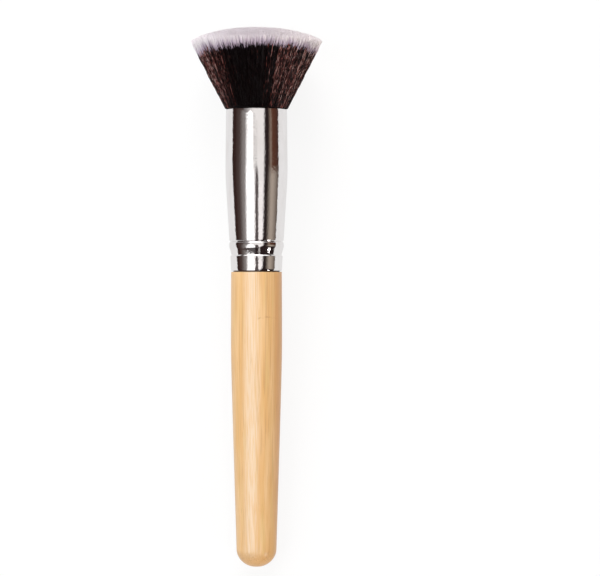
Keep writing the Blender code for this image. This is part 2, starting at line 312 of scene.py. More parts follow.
@dataclass(frozen=True)
class Grain:
    """A soft noise on the brush: how wide its features are, and how many times as long along the brush."""

    cell: float
    run: float = 1.0
    detail: float = 1.0

    def stretched(self, place: Term) -> Term:
        """Scales a place on the brush's axis so that one unit is one feature."""
        x, y, z = (place.part(name) for name in "XYZ")
        return place.kit.join(x / self.cell, y / self.cell, z / (self.cell * self.run))

    def along(self, place: Term) -> Term:
        """Reads the noise at a place on the brush's axis."""
        return place.kit.noise(self.stretched(place), self.detail)

    def around(self, place: Term, level: float) -> Term:
        """Reads one level of the noise across the brush, the same all along it."""
        x, y = place.part("X") / self.cell, place.part("Y") / self.cell
        return place.kit.noise(place.kit.join(x, y, level), self.detail)


@dataclass(frozen=True)
class Finish:
    """What every finish has: a name, and a Principled shader whose plain values are set once."""

    name: str
    roughness: float = 0.5
    metallic: float = 0.0
    specular: float = 0.5

    def material(self, axis: BrushAxis) -> bpy.types.Material:
        """Makes the material.

        Args:
            axis: Where the brush's own axis lies, for patterns that follow it.

        Returns:
            The material, with its nodes.
        """
        made = bpy.data.materials.new(self.name)
        made.use_nodes = True
        kit = NodeKit(made.node_tree)
        sockets = made.node_tree.nodes["Principled BSDF"].inputs
        plain = {"Roughness": self.roughness, "Metallic": self.metallic, "Specular IOR Level": self.specular}
        for values in (plain, self.paint(kit, axis.place_in(kit))):
            for name, value in values.items():
                kit.feed(sockets[name], value)
        return made

    def paint(self, kit: NodeKit, place: Term) -> dict[str, Term]:
        """Works out what changes over the surface. Each finish has its own way.

        Args:
            kit: The material's kit.
            place: Where a point of the surface lies on the brush's own axis.

        Returns:
            What feeds the shader's sockets, by name.
        """
        raise NotImplementedError


@dataclass(frozen=True)
class BambooFinish(Finish):
    """Fine straight bamboo under a satin clear lacquer."""

    name: str = "lacquered_bamboo"
    roughness: float = 0.32
    specular: float = 0.38
    straw: Colour = (0.688, 0.462, 0.244)
    honey: Colour = (0.632, 0.370, 0.146)
    green_straw: Colour = (0.603, 0.423, 0.180)
    # Painted highlight: a pale strip just left of the handle's middle, partly the wood's own tone.
    blush: Colour = (0.680, 0.545, 0.402)
    # Painted shade: the handle's right side is darker and more orange, partly the wood's own tone.
    amber: Colour = (0.560, 0.262, 0.108)
    # Painted light: the butt dome is brighter and more orange in place of a lamp, partly the end grain's
    # tone.
    end_grain: Colour = (0.880, 0.500, 0.205)
    bundle: Colour = (0.390, 0.198, 0.077)
    # Darker at the handle's top edge, against the ferrule.
    seam: Colour = (0.060, 0.026, 0.014)
    broad: Grain = Grain(1.9 * MM, 16.0, 2.0)
    hue: Grain = Grain(1.14 * MM, 16.0)
    fine: Grain = Grain(0.27 * MM, 42.0, 2.0)
    lines: Grain = Grain(0.40 * MM, 60.0)
    bundles: Grain = Grain(0.55 * MM, 12.0)
    patches: Grain = Grain(3.0 * MM, 6.0)
    honey_ramp: Ramp = (0.30, 0.74, 1.0)
    green_ramp: Ramp = (0.50, 0.75, 0.55)
    amber_ramp: Ramp = (5.3 * MM, 6.8 * MM, 0.45)
    fine_ramp: Ramp = (0.42, 0.66, 0.58)
    line_ramp: Ramp = (0.54, 0.70, 1.0)
    bundle_ramp: Ramp = (0.08, 0.22, 1.0)
    patch_ramp: Ramp = (0.42, 0.62, 1.0)
    seam_ramp: Ramp = (95.66 * MM, 95.72 * MM, 1.0)
    blush_middle: float = -1.45 * MM
    blush_wander: float = 2.0 * MM
    blush_ramp: Ramp = (0.46 * MM, 3.68 * MM, 1.0)
    blush_share: float = 0.78
    butt_fade: float = 6.0 * MM
    end_grain_share: float = 0.80
    line_share: float = 0.34
    line_loss_in_blush: float = 0.20
    bundle_share: float = 0.30
    joint_middle: float = 3.6 * MM
    joint_half: float = 3.4 * MM
    joint_height: float = 81.0 * MM
    joint_waver: float = 1.2 * MM
    joint_bow: float = 0.5 * MM
    joint_end_ramp: Ramp = (0.6, 1.2, 1.0)
    joint_line_ramp: Ramp = (0.08 * MM, 0.42 * MM, 1.0)
    joint_wobble: Grain = Grain(0.9 * MM, detail=2.0)
    joint_ticks: Grain = Grain(1.1 * MM)
    tick_level: float = 3.7
    tick_ramp: Ramp = (0.52, 0.66, 0.34)
    tick_least: float = 0.08
    relief: float = 0.35
    grain_depth: float = 0.012 * MM
    fine_rise: float = 0.7
    bundle_dip: float = 0.5
    uneven_gloss: float = 0.08

    def paint(self, kit: NodeKit, place: Term) -> dict[str, Term]:
        """Lays streaks, darker fibre bundles and the faint joint of the cane along the handle, with a painted
        highlight strip, painted shade on its right side, painted light on the butt dome and a darker top
        edge.

        Args:
            kit: The material's kit.
            place: Where a point of the surface lies on the brush's own axis.

        Returns:
            What feeds the shader's sockets, by name.
        """
        x, z = place.part("X"), place.part("Z")
        broad, fine, bundles = self.broad.along(place), self.fine.along(place), self.fibre_bundles(place)
        # Painted highlight strip, faded out at the butt; the grain lines fade within it.
        off = (x - self.blush_middle + (broad - 0.5) * self.blush_wander).call("ABSOLUTE")
        above_butt = z.smooth(0.0, self.butt_fade)
        strip = (1 - off.smooth(*self.blush_ramp)) * above_butt
        lines = self.lines.along(place).smooth(*self.line_ramp)
        layers = (
            (self.hue.along(place).smooth(*self.green_ramp), self.green_straw),
            # Painted highlight strip, partly the wood's own tone.
            (strip * self.blush_share, self.blush),
            # Painted shade on the handle's right side, partly the wood's own tone.
            (x.smooth(*self.amber_ramp), self.amber),
            # Painted light on the butt dome, partly the end grain's tone.
            ((1 - above_butt) * self.end_grain_share, self.end_grain),
            (fine.smooth(*self.fine_ramp), self.honey),
            (lines * (self.line_share - strip * self.line_loss_in_blush), self.bundle),
            (bundles * self.bundle_share, self.bundle),
            (self.cane_joint(place), self.bundle),
            # Darker at the handle's top edge.
            (z.smooth(*self.seam_ramp), self.seam),
        )
        colour = kit.blend(broad.smooth(*self.honey_ramp), self.straw, self.honey)
        for share, tone in layers:
            colour = kit.blend(share, colour, tone)
        height = fine * self.fine_rise - bundles * self.bundle_dip
        return {
            "Base Color": colour,
            "Roughness": self.roughness + (fine - 0.5) * self.uneven_gloss + bundles * self.uneven_gloss,
            "Normal": kit.bump(height, self.relief, self.grain_depth),
        }

    def fibre_bundles(self, place: Term) -> Term:
        """Marks the dark fibre bundles, which come in patches.

        Args:
            place: Where a point of the surface lies on the brush's own axis.

        Returns:
            How much of a bundle shows there, from 0 to 1.
        """
        cells = {"Vector": self.bundles.stretched(place), "Scale": 1.0}
        off = place.kit.out("ShaderNodeTexVoronoi", {}, cells, "Distance")
        return (1 - off.smooth(*self.bundle_ramp)) * self.patches.along(place).smooth(*self.patch_ramp)

    def cane_joint(self, place: Term) -> Term:
        """Marks the bowed line of short ticks where the cane had a joint.

        Args:
            place: Where a point of the surface lies on the brush's own axis.

        Returns:
            How far the joint darkens the wood there.
        """
        bow = ((place.part("X") - self.joint_middle) / self.joint_half) ** 2
        wobble = self.joint_wobble.around(place, 0.0) - 0.5
        off = place.part("Z") - self.joint_height - wobble * self.joint_waver + bow * self.joint_bow
        line = 1 - off.call("ABSOLUTE").smooth(*self.joint_line_ramp)
        ticks = self.joint_ticks.around(place, self.tick_level).smooth(*self.tick_ramp)
        return (1 - bow.smooth(*self.joint_end_ramp)) * line * (ticks + self.tick_least)


@dataclass(frozen=True)
class PlatedFinish(Finish):
    """Bright plating on a drawn tube, with the slight grain that drawing leaves."""

    name: str = "bright_plating"
    roughness: float = 0.06
    metallic: float = 1.0
    bright: Colour = (0.86, 0.84, 0.84)
    smoky: Colour = (0.78, 0.75, 0.74)
    grain: Grain = Grain(0.50 * MM, 1.3, 2.0)
    ripple: Grain = Grain(2.4 * MM, 4.0)
    cloud: Grain = Grain(4.0 * MM, 2.25, 3.0)
    smoky_ramp: Ramp = (0.4, 0.75, 0.5)
    wiped_ramp: Ramp = (0.45, 0.8, 0.05)
    grain_dulling: float = 0.02
    relief: float = 0.5
    grain_depth: float = 0.040 * MM
    ripple_rise: float = 0.7

    def paint(self, kit: NodeKit, place: Term) -> dict[str, Term]:
        """Adds a fine grain, soft wipe marks and a faint clouding.

        Args:
            kit: The material's kit.
            place: Where a point of the surface lies on the brush's own axis.

        Returns:
            What feeds the shader's sockets, by name.
        """
        grain, ripple, cloud = (noise.along(place) for noise in (self.grain, self.ripple, self.cloud))
        return {
            "Base Color": kit.blend(cloud.smooth(*self.smoky_ramp), self.bright, self.smoky),
            "Roughness": self.roughness + cloud.smooth(*self.wiped_ramp) + grain * self.grain_dulling,
            "Normal": kit.bump(grain + ripple * self.ripple_rise, self.relief, self.grain_depth),
        }


@dataclass(frozen=True)
class FilamentFinish(Finish):
    """Soft filament, dyed dark brown up to a ragged line, with pale undyed ends, and with painted side light,
    painted glints and painted shade near the mouth in its colour.
    """

    name: str = "dyed_filament"
    roughness: float = 0.33
    specular: float = 0.17
    black_brown: Colour = (0.0030, 0.0012, 0.0016)
    red_brown: Colour = (0.370, 0.112, 0.094)
    # Painted glint colour, which the brightest filaments turn to.
    pale_brown: Colour = (0.640, 0.410, 0.380)
    lilac: Colour = (0.540, 0.430, 0.560)
    pearl: Colour = (0.990, 0.950, 0.966)
    wick_ramp: Ramp = (-0.20 * MM, 0.35 * MM, 1.0)
    pearl_ramp: Ramp = (0.0, 2.7 * MM, 1.0)
    pearl_least: float = 0.80
    # Painted glints: short brighter stretches along each filament.
    glint_length: float = 1.5 * MM
    glint_ramp: Ramp = (0.50, 0.62, 1.25)
    dull: float = 0.45
    mouth_height: float = 148.5 * MM
    # Painted shade: the filaments are darker for this far above the ferrule's mouth.
    mouth_shade: float = 9.0 * MM
    light_in_mouth: float = 0.52
    red_ramp: Ramp = (0.06, 0.90, 1.0)
    red_delay: float = 1.5
    # Where the painted glint colour takes over.
    pale_ramp: Ramp = (0.80, 1.65, 1.0)

    def paint(self, kit: NodeKit, place: Term) -> dict[str, Term]:
        """Colours each filament by its own tone, its painted glints, painted side light, painted shade near
        the mouth and how far up it the dye goes.

        Args:
            kit: The material's kit.
            place: Where a point of the surface lies on the brush's own axis.

        Returns:
            What feeds the shader's sockets, by name.
        """
        stored = ({"attribute_name": name} for name in ("tone", "undyed", "strand"))
        tone, undyed, strand = (kit.out("ShaderNodeAttribute", name, {}, "Fac") for name in stored)
        height = place.part("Z")
        # Painted glints along each filament.
        glint = kit.noise(kit.join(strand, 0.0, height / self.glint_length), 0.0).smooth(*self.glint_ramp)
        # Painted shade near the ferrule's mouth.
        open_height, gain = self.mouth_height + self.mouth_shade, 1 - self.light_in_mouth
        lit = self.light_in_mouth + height.smooth(self.mouth_height, open_height, gain)
        # The filament's own tone with painted side light, painted glints and painted shade near the mouth.
        shine = tone * (self.dull + glint) * lit
        dyed = kit.blend(shine.smooth(*self.red_ramp) ** self.red_delay, self.black_brown, self.red_brown)
        # The brightest filaments turn to the painted glint colour.
        dyed = kit.blend(shine.smooth(*self.pale_ramp), dyed, self.pale_brown)
        # The pale ends take a little of the stored tone, painted side light included.
        pearly = undyed.smooth(*self.pearl_ramp) * (self.pearl_least + tone * (1 - self.pearl_least))
        bare = kit.blend(pearly, self.lilac, self.pearl)
        return {"Base Color": kit.blend(undyed.smooth(*self.wick_ramp), dyed, bare)}


@dataclass(frozen=True)
class CloudyFinish(Finish):
    """A plain cast or spread material that is a little uneven, such as resin or glue."""

    first: Colour = (0.6, 0.6, 0.6)
    second: Colour = (0.5, 0.5, 0.5)
    cloud: Grain = Grain(3.0 * MM)
    second_ramp: Ramp = (0.35, 0.7, 1.0)
    uneven_gloss: float = 0.15
    relief: float = 0.6
    dent: float = 0.03 * MM

    def paint(self, kit: NodeKit, place: Term) -> dict[str, Term]:
        """Adds soft clouds of a second tone, and a slightly uneven surface.

        Args:
            kit: The material's kit.
            place: Where a point of the surface lies on the brush's own axis.

        Returns:
            What feeds the shader's sockets, by name.
        """
        cloud = self.cloud.along(place)
        return {
            "Base Color": kit.blend(cloud.smooth(*self.second_ramp), self.first, self.second),
            "Roughness": self.roughness + (cloud - 0.5) * self.uneven_gloss,
            "Normal": kit.bump(cloud, self.relief, self.dent),
        }


RESIN = CloudyFinish(
    "cured_resin", 0.18, 0.0, 0.5, (0.62, 0.45, 0.18), (0.40, 0.25, 0.09), Grain(0.35 * MM, 30.0, 3.0)
)
GLUE = CloudyFinish(
    "wood_glue", 0.38, 0.0, 0.5, (0.80, 0.77, 0.68), (0.70, 0.65, 0.52), Grain(2.0 * MM, 1.0, 3.0)
)
THREAD = CloudyFinish(
    "cotton_thread", 0.85, 0.0, 0.2, (0.72, 0.69, 0.62), (0.52, 0.48, 0.41), Grain(0.22 * MM, 1.0, 3.0)
)


def add_piece(name: str, mesh: bpy.types.Mesh) -> bpy.types.Object:
    """Puts a mesh in the scene.

    Args:
        name: What its object is called.
        mesh: The mesh, with its place in it.

    Returns:
        The object, which sits at the origin.
    """
    item = bpy.data.objects.new(name, mesh)
    bpy.context.scene.collection.objects.link(item)
    return item


def claim(piece: bpy.types.Object, node: str) -> None:
    """Attaches a finished piece to the body, hides the CAD node that it stands for, and logs it.

    Args:
        piece: The finished piece.
        node: The CAD node that it replaces.
    """
    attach(piece, BODY)
    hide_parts(node)
    log.info("%s: %d faces, for %s", piece.name, len(piece.data.polygons), node)


@dataclass
class Turning:
    """A shape turned on the brush's axis from a closed outline of (radius, height) points."""

    outline: Profile
    steps: int = 128
    sharp_degrees: float = 32.0

    def piece(self, name: str, finish: Finish, axis: BrushAxis) -> bpy.types.Object:
        """Builds the turned piece, with a map that runs round it and along its outline.

        Args:
            name: The piece's name.
            finish: What it wears.
            axis: Where the brush's axis lies.

        Returns:
            The piece, closed and facing out, in the frame's own place.
        """
        capped = self.outline[0][0] == 0
        rings = [(r, h) for r, h in self.outline if r > 0]
        poles = [(0.0, 0.0, self.outline[end][1]) for end in (0, -1) if capped]
        turn = np.arange(self.steps) * math.tau / self.steps
        round_about = np.stack([np.cos(turn), np.sin(turn)], 1)
        places = [np.column_stack([round_about * r, np.full(self.steps, h)]) for r, h in rings]
        vertices = np.concatenate(places + [np.array(poles).reshape(-1, 3)])
        faces, corners = self._faces(len(rings), self._runs(rings, capped), capped)
        mesh = bpy.data.meshes.new(name)
        mesh.from_pydata(vertices.tolist(), [], faces)
        layer = mesh.uv_layers.new(name=UV_MAP)
        layer.uv.foreach_set("vector", np.array(corners, np.float32).ravel())
        mesh.transform(axis.matrix())
        mesh.shade_smooth()
        mesh.set_sharp_from_angle(angle=math.radians(self.sharp_degrees))
        mesh.validate()
        mesh.materials.append(finish.material(axis))
        return add_piece(name, mesh)

    @staticmethod
    def _runs(rings: Profile, capped: bool) -> list[float]:
        """Shares of the outline's length at each ring, for the map.

        Args:
            rings: The rings' radii and heights.
            capped: Whether the outline starts and ends on the axis.

        Returns:
            One share for each ring, and one more for the first ring's return where nothing is capped.
        """
        points = rings if capped else rings + rings[:1]
        steps = [math.dist(a, b) for a, b in zip(points, points[1:])]
        caps = (rings[0][0], rings[-1][0]) if capped else (0.0, 0.0)
        return [(caps[0] + sum(steps[:index])) / (sum(steps) + sum(caps)) for index in range(len(points))]

    def _faces(self, count: int, runs: list[float], capped: bool) -> tuple[list, list]:
        """Lists the faces, and each corner's place on the map.

        Args:
            count: How many rings there are.
            runs: The rings' shares of the outline.
            capped: Whether the outline starts and ends on the axis.

        Returns:
            The faces and the corners' map places.
        """
        faces, corners = [], []
        n = self.steps
        bands = [(k, k + 1) for k in range(count - 1)] + ([] if capped else [(count - 1, 0)])
        for band, (a, b) in enumerate(bands):
            low, high = runs[band], runs[band + 1]
            for i in range(n):
                j = (i + 1) % n
                faces.append((a * n + i, b * n + i, b * n + j, a * n + j))
                left, right = i / n, (i + 1) / n
                corners += [(left, low), (left, high), (right, high), (right, low)]
        if capped:
            first, last = count * n, count * n + 1
            for i in range(n):
                j = (i + 1) % n
                left, middle, right = i / n, (i + 0.5) / n, (i + 1) / n
                faces.append((first, i, j))
                corners += [(middle, 0.0), (left, runs[0]), (right, runs[0])]
                faces.append((last, (count - 1) * n + j, (count - 1) * n + i))
                corners += [(middle, 1.0), (right, runs[-1]), (left, runs[-1])]
        return faces, corners


@dataclass
class Handle:
    """The turned bamboo handle, with the tenon that enters the ferrule."""

    length: float = 95.8 * MM
    butt_radius: float = 6.5 * MM
    dome_height: float = 5.7 * MM
    flat_radius: float = 1.7 * MM
    belly_radius: float = 8.33 * MM
    belly_height: float = 74.0 * MM
    belly_ease: float = 8.7 * MM
    foot_radius: float = 8.25 * MM
    shoulder_break: float = 0.2 * MM
    shoulder_points: int = 4
    grip_points: int = 56
    dome_points: int = 22
    tenon_length: float = 14.3 * MM
    tenon_radius: float = 7.5 * MM
    tenon_chamfer: float = 0.8 * MM
    finish: Finish = BambooFinish()

    def grip_radius(self, height: float) -> float:
        """The handle's radius above its dome.

        Args:
            height: The height above the flat of the butt.

        Returns:
            The radius, which grows up to the belly and shrinks a little from there to the ferrule.
        """
        if height > self.belly_height:
            share = (height - self.belly_height) / (self.length - self.belly_height)
            return self.belly_radius - (self.belly_radius - self.foot_radius) * share**2
        eased = math.hypot(self.belly_height - height, self.belly_ease) - self.belly_ease
        whole = math.hypot(self.belly_height - self.dome_height, self.belly_ease) - self.belly_ease
        return self.belly_radius - (self.belly_radius - self.butt_radius) * eased / whole

    def outline(self) -> Profile:
        """Draws the handle's section.

        Returns:
            Points of radius and height, from the tenon's end down to the flat of the butt.
        """
        top = self.length + self.tenon_length
        points = [(0.0, top), (self.tenon_radius - self.tenon_chamfer, top)]
        points += [(self.tenon_radius, top - self.tenon_chamfer), (self.tenon_radius, self.length)]
        for angle in evenly(0.0, math.pi / 2, self.shoulder_points):
            radius = self.foot_radius - self.shoulder_break * (1 - math.sin(angle))
            points.append((radius, self.length - self.shoulder_break * (1 - math.cos(angle))))
        heights = evenly(self.length - 3 * self.shoulder_break, self.dome_height, self.grip_points)
        points += [(self.grip_radius(height), height) for height in heights]
        flat_angle = math.asin(self.flat_radius / self.butt_radius)
        depth = self.dome_height / math.cos(flat_angle)
        for angle in evenly(math.pi / 2, flat_angle, self.dome_points)[1:]:
            radius = self.butt_radius * math.sin(angle)
            points.append((radius, self.dome_height - depth * math.cos(angle)))
        return points + [(0.0, 0.0)]

    def build(self, axis: BrushAxis) -> None:
        """Turns the handle and lacquers it."""
        claim(Turning(self.outline()).piece("bamboo_handle", self.finish, axis), "handle")


@dataclass
class Ferrule:
    """The drawn and plated tube: a cone, a soft bend and a barrel, with two rolled crimps near its foot."""

    foot_height: float = 96.1 * MM
    length: float = 52.4 * MM
    wall: float = 0.45 * MM
    foot_radius: float = 8.25 * MM
    mouth_radius: float = 9.92 * MM
    waist_radius: float = 10.15 * MM
    waist_height: float = 31.2 * MM
    waist_bend: float = 7.0 * MM
    edge_break: float = 0.12 * MM
    edge_squareness: float = 0.6
    edge_points: int = 9
    crimp_heights: tuple[float, float] = (5.15 * MM, 9.5 * MM)
    crimp_depth: float = 0.30 * MM
    crimp_width: float = 0.70 * MM
    crimp_roundness: float = 0.12
    shoulder_depth: float = 0.04 * MM
    shoulder_length: float = 1.7 * MM
    bead_rise: float = 0.15 * MM
    bead_length: float = 2.1 * MM
    flank_depth: float = 0.40 * MM
    flank_ease: float = 0.9
    points_by_stretch: tuple[int, ...] = (12, 14, 10, 110, 6)
    inner_stride: int = 3
    steps: int = 160
    finish: Finish = PlatedFinish()

    def plain_radius(self, height: float) -> float:
        """The outer radius without the crimps.

        Args:
            height: The height above the ferrule's foot.

        Returns:
            The radius of the cone, the bend or the barrel there.
        """
        cone = (self.waist_radius - self.foot_radius) / self.waist_height
        barrel = (self.mouth_radius - self.waist_radius) / (self.length - self.waist_height)
        start = self.waist_height - self.waist_bend / 2
        if height >= start + self.waist_bend:
            return self.waist_radius + barrel * (height - self.waist_height)
        radius = self.waist_radius + cone * (height - self.waist_height)
        if height > start:
            radius += (barrel - cone) * (height - start) ** 2 / (2 * self.waist_bend)
        return radius

    def relief(self, height: float) -> float:
        """How far the crimps, their shoulders, the bead and its flank move the wall out.

        Args:
            height: The height above the ferrule's foot.

        Returns:
            The distance, below zero where the wall is pressed in.
        """
        lower, upper = self.crimp_heights
        bead_top = upper - self.crimp_width / 2
        bead_foot = bead_top - self.bead_length
        if bead_foot < height < bead_top:
            return self.bead_rise * math.sin(math.pi * (bead_top - height) / self.bead_length)
        if lower < height <= bead_foot:
            return -self.flank_depth * ((bead_foot - height) / (bead_foot - lower)) ** self.flank_ease
        crimp, depth = (upper, self.crimp_depth) if height > lower else (lower, self.flank_depth)
        edge = 0.0 if lower < height < upper else self.shoulder_depth
        off = abs(height - crimp) / (self.crimp_width / 2)
        if off < 1.0:
            hollow = (depth - edge) * (1 - math.hypot(off, self.crimp_roundness))
            return -edge - hollow / (1 - self.crimp_roundness)
        away = (off - 1) * self.crimp_width / 2
        return -edge * max(0.0, 1 - away / self.shoulder_length) ** 2

    def heights(self) -> list[float]:
        """Lists the heights at which the wall is drawn.

        Returns:
            Heights above the foot, from the mouth down, close together where the wall bends.
        """
        low, high = self.crimp_heights[0] - self.crimp_width, self.crimp_heights[1] + self.crimp_width
        bend = self.waist_height - self.waist_bend / 2
        stops = [self.length - self.edge_break, bend + self.waist_bend, bend, high, low, self.edge_break]
        found = stops[:1]
        for start, end, count in zip(stops, stops[1:], self.points_by_stretch):
            found += evenly(start, end, count)[1:]
        return found

    def rim(self, height: float, outer: float, upwards: bool) -> Profile:
        """The rolled edge of the tube, from its outer face round to its inner face.

        Args:
            height: The edge's height.
            outer: The tube's outer radius there.
            upwards: Whether the edge faces the mouth.

        Returns:
            Points round the edge.
        """
        middle, half = outer - self.wall / 2, self.wall / 2
        depth = self.edge_break if upwards else -self.edge_break
        points = []
        for angle in evenly(0.0, math.pi, self.edge_points):
            fall = depth * (1 - math.sin(angle) ** self.edge_squareness)
            points.append((middle + half * math.cos(angle), height - fall))
        return points

    def outline(self) -> Profile:
        """Draws the wall's section.

        Returns:
            Points of radius and height, down the outer face from the mouth and back up the inner face.
        """
        outer = [(self.plain_radius(h) + self.relief(h), h) for h in self.heights()]
        inner = [(radius - self.wall, height) for radius, height in outer[:: -self.inner_stride]]
        mouth = self.rim(self.length, self.plain_radius(self.length), True)[::-1]
        foot = self.rim(0.0, self.plain_radius(0.0), False)
        points = mouth[:-1] + outer + foot[1:-1] + inner[1:]
        return [(radius, height + self.foot_height) for radius, height in points]

    def build(self, axis: BrushAxis) -> None:
        """Turns the tube and plates it."""
        piece = Turning(self.outline(), self.steps).piece("plated_ferrule", self.finish, axis)
        claim(piece, "ferrule")


class Layer(Enum):
    """Which filaments of the head a batch holds: those at its heart, those round it, or those that show."""

    HEART = "heart"
    ROUND = "round"
    SKIN = "skin"


# Where a filament's rings lie, from -1 at the root's end through 0 at the ferrule's mouth to 1 at the tip.
RING_PLACES = {
    Layer.HEART: [-1.0, 0.74, 0.90, 1.0],
    Layer.ROUND: [-1.0, 0.0, 0.017, 0.22, 0.48, 0.74, 0.90, 1.0],
    Layer.SKIN: [-1.0, 0.0, 0.017, *evenly(0.06, 0.93, 16), 1.0],
}
# How wide a filament is at such places, and how far up its strip of the map they are.
WIDTH_KNOTS = ((-1.0, 0.0, 0.70, 0.86, 0.97, 1.0), (0.55, 0.60, 0.95, 1.50, 1.40, 0.75))
MAP_KNOTS = ((-1.0, 0.0, 0.73, 1.0), (0.0, 0.06, 0.34, 1.0))
# What the node tree stores for its own use, which no material reads.
TREE_VALUES = ("fibre", "root", "tuft", "lean", "dye", "clump", "wave", "twist", "short", "step", "spoke")


@dataclass(frozen=True)
class HeadSizes:
    """The sizes that shape the head. Each is an input of its node tree."""

    packed_radius: float = 9.17 * MM
    collar_radius: float = 10.02 * MM
    rim_radius: float = 21.20 * MM
    crown_length: float = 26.6 * MM
    crown_rise: float = 4.3 * MM
    root_depth: float = 4.2 * MM
    collar_height: float = 0.36 * MM
    filament_radius: float = 0.078 * MM
    pale_length: float = 2.75 * MM
    pale_at_sides: float = 1.7 * MM
    pale_at_left: float = 0.42 * MM
    pale_within: float = 2.6 * MM
    dye_by_tuft: float = 0.14 * MM
    dye_by_filament: float = 0.95 * MM
    uneven_tips: float = 0.16 * MM
    wander: float = 0.55 * MM
    crimp_width: float = 0.95 * MM
    crimp_length: float = 2.9 * MM
    clump_bulge: float = 0.42 * MM
    tufts_across: float = 74.0
    tuft_pull: float = 0.50
    stray_share: float = 0.03

    def inputs(self) -> dict[str, float]:
        """The sizes by the names of the tree's inputs, such as Packed radius."""
        return {size.name.replace("_", " ").capitalize(): getattr(self, size.name) for size in fields(self)}


@dataclass(frozen=True)
class PaintedSideLight:
    """Painted side light: how the dyed filaments are painted brighter from the head's middle towards one
    side, where the lamps fall, and painted darker at its edge.
    """

    rise: Ramp
    edge_fall: Ramp

    def read(self, across: Term) -> Term:
        """Gives the painted brightness at a share of the way across the head towards this side."""
        return across.smooth(*self.rise) * (1 - across.smooth(*self.edge_fall))


